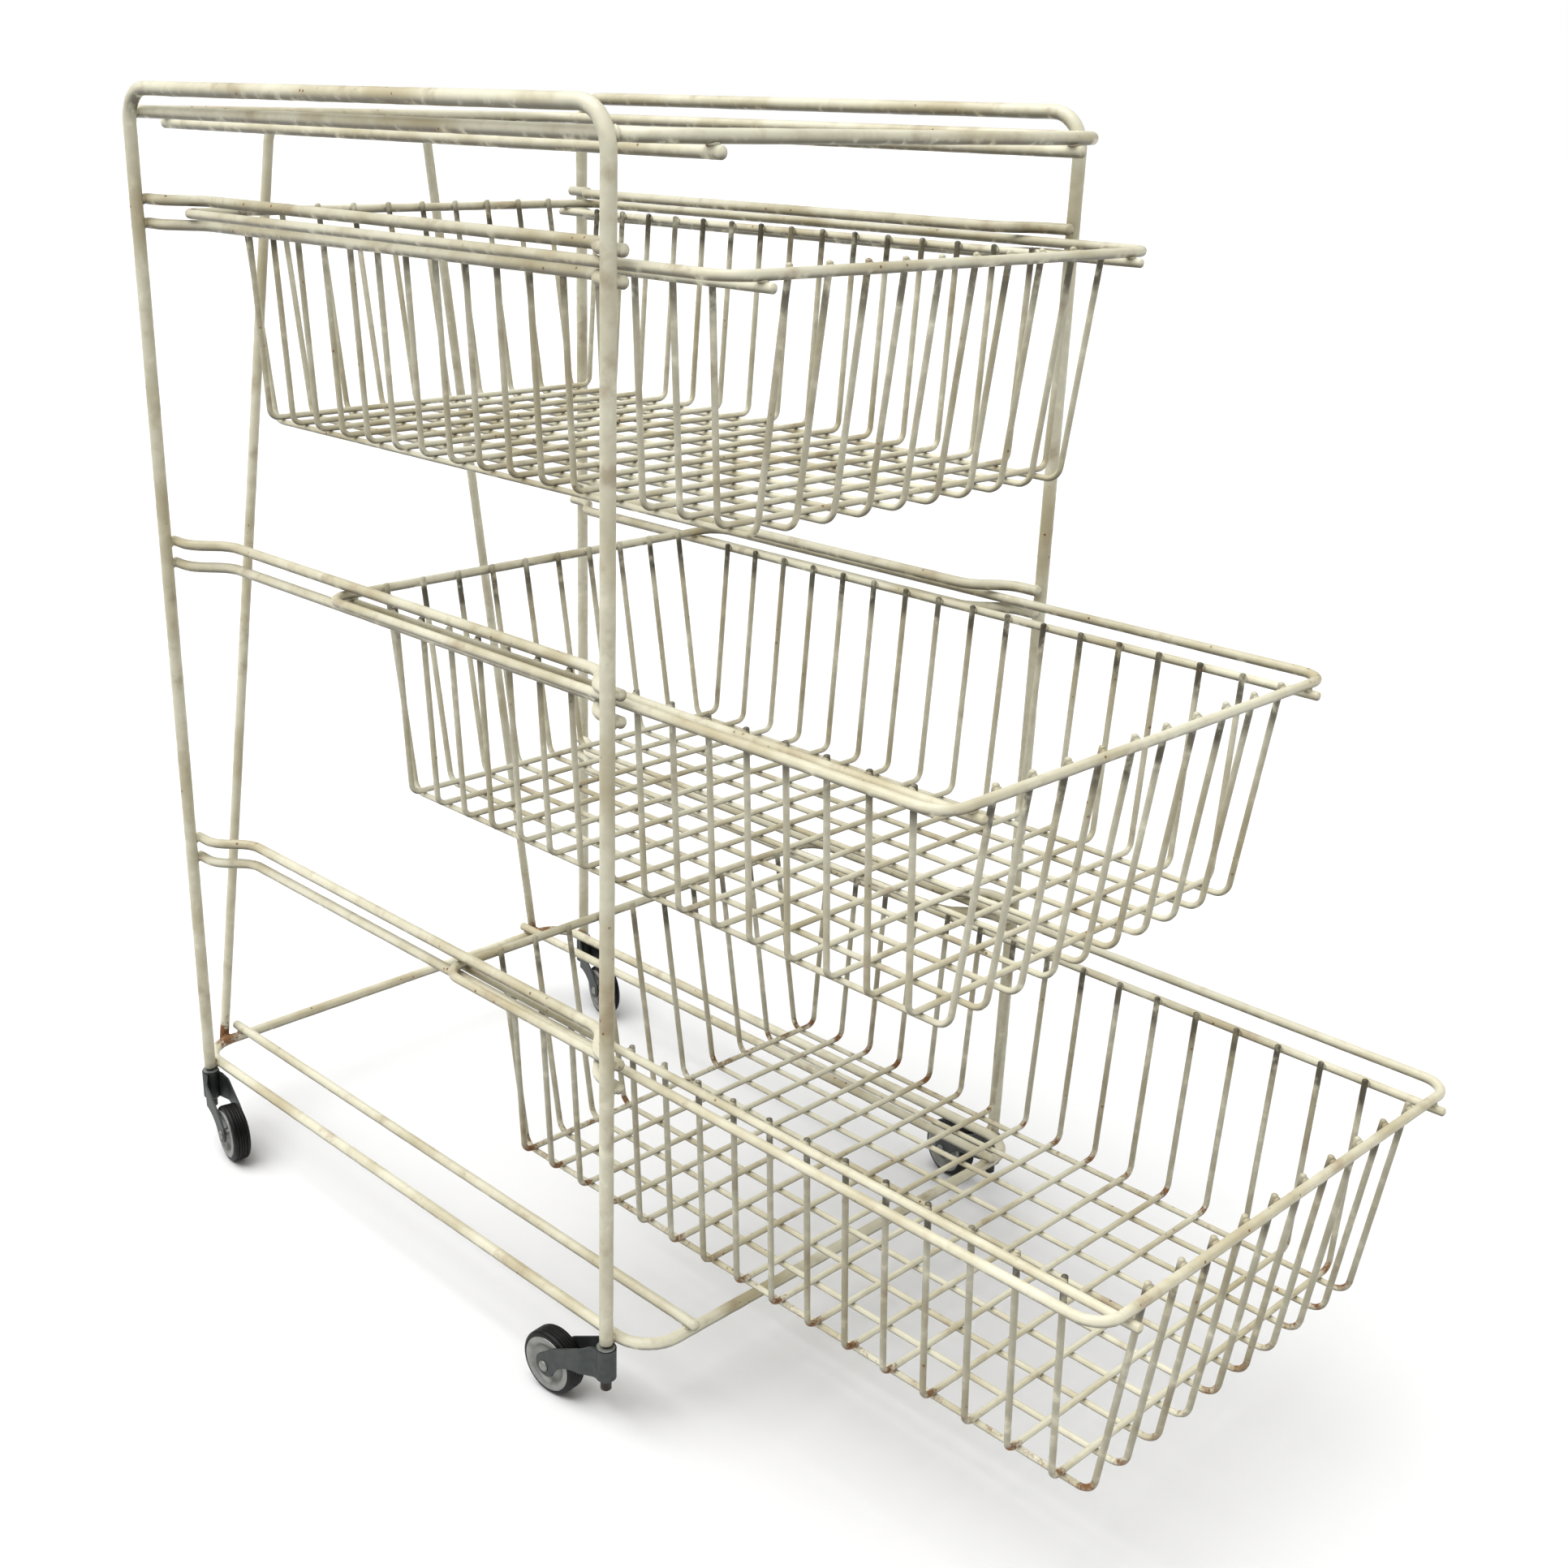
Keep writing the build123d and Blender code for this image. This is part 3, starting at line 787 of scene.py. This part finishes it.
def mirrored(half):
    """A closed profile in metres, from one half of it in millimetres."""
    half = [in_mm(along, radius) for along, radius in half]
    return half + [(-along, radius) for along, radius in reversed(half)]


def tyre_profile():
    """Round shoulders, and grooves between the ribs of the tread."""
    radius, bore, half_width, shoulder = 20, 15.5, 6, 2.2
    half = [(half_width, bore), (half_width, radius - shoulder)]
    for step in range(1, 6):
        angle = radians(15 * step)
        along = half_width - shoulder + shoulder * cos(angle)
        half.append((along, radius - shoulder + shoulder * sin(angle)))
    wall = [(0.5, 0.0), (0.3, 0.2), (0.15, 0.9)]     # of a groove: from its middle, and how deep
    for middle in (2.8, 0.8):
        half += [(middle + along, radius - deep) for along, deep in wall]
        half += [(middle - along, radius - deep) for along, deep in reversed(wall)]
    return mirrored(half)


def hub_profile():
    """Pressed steel disc: boss, dished web and a rolled flange over the tyre's side."""
    return mirrored([
        (7.0, 2.05), (7.0, 3.3), (6.6, 3.6), (4.2, 3.9), (3.0, 4.8), (2.6, 6.4), (2.8, 8.6),
        (3.6, 10.4), (5.0, 11.9), (6.1, 12.8), (6.6, 13.8), (6.75, 15.2), (6.6, 16.4),
        (6.2, 17.0), (6.0, 16.8), (6.0, 15.5),
    ])


def rivet_profile():
    """Shaft with a low domed head at each end."""
    return mirrored([(10.6, 0.01), (10.5, 1.2), (10.1, 2.3), (9.5, 3.1), (8.85, 3.5), (8.8, 2.0)])


def dress_node(node, material):
    """Give a CAD node its material and soft edges."""
    part = frame["nodes"][node]
    part.data.materials.clear()
    part.data.materials.append(material)
    bevel = part.modifiers.new("soft_edges", "BEVEL")
    bevel.width = EDGE_BEVEL
    bevel.segments = 2
    bevel.limit_method = "ANGLE"
    bevel.angle_limit = SHARP_ANGLE


def caster(name):
    """A wheel's tyre, hub and rivet, turned about its axle, and the fork of the CAD model."""
    joint = next(joint for joint in frame["joints"] if joint["child"] == f"{name}_wheel")
    tyre = lathe(f"ribbed_{name}_tyre", tyre_profile(), 96, joint, TYRE_RUBBER)
    hub = lathe(f"pressed_{name}_hub", hub_profile(), 72, joint, HUB_STEEL)
    rivet = lathe(f"domed_{name}_rivet", rivet_profile(), 32, joint, HUB_STEEL)
    for piece, part, body, slot_name in (
        (tyre, "tyre", "wheel", "black_rubber"),
        (hub, "hub", "wheel", "hub_steel"),
        (rivet, "axle", "swivel", "zinc_steel"),
    ):
        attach(piece, f"{name}_{body}")
        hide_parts(f"{name}_{part}")
    dress_node(f"{name}_fork", FORK_ZINC)


arches()
rails()
loops()
straight_pair("top_rods", "frame", frame_wear)
straight_pair("bottom_rods", "frame", frame_wear)
brace()
frame_welds()
for number, basket in enumerate(BASKETS, 1):
    basket_pieces(basket, count(100 * number + 1))
for name in CASTERS:
    caster(name)
dress_node("swivel_pins", PIN_STEEL)
dress_node("pin_caps", PIN_STEEL)
dress_node("pin_collars", HUB_STEEL)


# ---------------------------------------------------------------- stage, light and camera

FLOOR_RINGS = (0.5, 2.0, 8.0, 40.0)
FLOOR_SIDES = 64


def studio():
    """A pale round floor that reaches far past the object."""
    mesh = bmesh.new()
    turns = [2 * pi * step / FLOOR_SIDES for step in range(FLOOR_SIDES)]
    rings = [
        [mesh.verts.new((radius * cos(turn), radius * sin(turn), 0)) for turn in turns]
        for radius in FLOOR_RINGS
    ]
    mesh.faces.new(rings[0])
    for one, two in zip(rings, rings[1:]):
        for step in range(FLOOR_SIDES):
            after = (step + 1) % FLOOR_SIDES
            mesh.faces.new((one[step], two[step], two[after], one[after]))
    made_object("studio_floor", mesh, floor_paint(), smooth=False)


KEY_TOWARD = (0.30, -0.26, -1.0)
KEY_STRENGTH = 2.9
KEY_SPREAD = radians(60)
HORIZON_FILL = 0.05
OVERHEAD_FILL = 0.8


def key_sun():
    """A distant lamp high over the object, wide enough for soft shadows."""
    light = bpy.data.lights.new("key_sun", "SUN")
    light.energy = KEY_STRENGTH
    light.angle = KEY_SPREAD
    holder = bpy.data.objects.new("key_sun", light)
    bpy.context.scene.collection.objects.link(holder)
    holder.rotation_euler = Vector(KEY_TOWARD).to_track_quat("-Z", "Y").to_euler()


def studio_air():
    """A surround that is white to look at, and lights the object softly from overhead."""
    world = bpy.data.worlds.new("studio_air")
    world.use_nodes = True
    tree = world.node_tree
    fill = tree.nodes["Background"]
    fill.inputs["Color"].default_value = (1.0, 1.0, 1.0, 1.0)
    way = tree.nodes.new("ShaderNodeTexCoord")
    split = tree.nodes.new("ShaderNodeSeparateXYZ")
    overhead = tree.nodes.new("ShaderNodeMapRange")
    overhead.inputs["To Min"].default_value = HORIZON_FILL
    overhead.inputs["To Max"].default_value = OVERHEAD_FILL
    tree.links.new(way.outputs["Generated"], split.inputs[0])
    tree.links.new(split.outputs["Z"], overhead.inputs["Value"])
    tree.links.new(overhead.outputs["Result"], fill.inputs["Strength"])
    backdrop = tree.nodes.new("ShaderNodeBackground")
    backdrop.inputs["Strength"].default_value = 1.0
    backdrop.inputs["Color"].default_value = (1.0, 1.0, 1.0, 1.0)
    path = tree.nodes.new("ShaderNodeLightPath")
    mixer = tree.nodes.new("ShaderNodeMixShader")
    tree.links.new(path.outputs["Is Camera Ray"], mixer.inputs[0])
    tree.links.new(fill.outputs[0], mixer.inputs[1])
    tree.links.new(backdrop.outputs[0], mixer.inputs[2])
    tree.links.new(mixer.outputs[0], tree.nodes["World Output"].inputs[0])
    bpy.context.scene.world = world


CAMERA_YAW = radians(45.46)      # of the view direction, from +X towards +Y
CAMERA_PITCH = radians(21.57)    # looking down
CAMERA_ROLL = radians(1.47)
CAMERA_PLACE = Vector((-0.7508, -0.7428, 0.7058))
SENSOR_WIDTH = 36.0              # millimetres, as Blender counts them
LENS = 43.12
SHIFT = (0.0412, 0.0360)


def camera():
    """The photo's own camera, built from its yaw, pitch and roll."""
    flat = Vector((cos(CAMERA_YAW), sin(CAMERA_YAW), 0))
    forward = flat * cos(CAMERA_PITCH) - Vector((0, 0, sin(CAMERA_PITCH)))
    level = Vector((sin(CAMERA_YAW), -cos(CAMERA_YAW), 0))
    upright = level.cross(forward)
    right = level * cos(CAMERA_ROLL) + upright * sin(CAMERA_ROLL)
    up = upright * cos(CAMERA_ROLL) - level * sin(CAMERA_ROLL)
    data = bpy.data.cameras.new("photo_camera")
    data.sensor_width = SENSOR_WIDTH
    data.lens = LENS
    data.shift_x, data.shift_y = SHIFT
    holder = bpy.data.objects.new("photo_camera", data)
    bpy.context.scene.collection.objects.link(holder)
    turn = Matrix((right, up, -forward)).transposed().to_4x4()
    holder.matrix_world = Matrix.Translation(CAMERA_PLACE) @ turn
    bpy.context.scene.camera = holder


studio()
key_sun()
studio_air()
bpy.context.scene.view_settings.view_transform = "Standard"
camera()
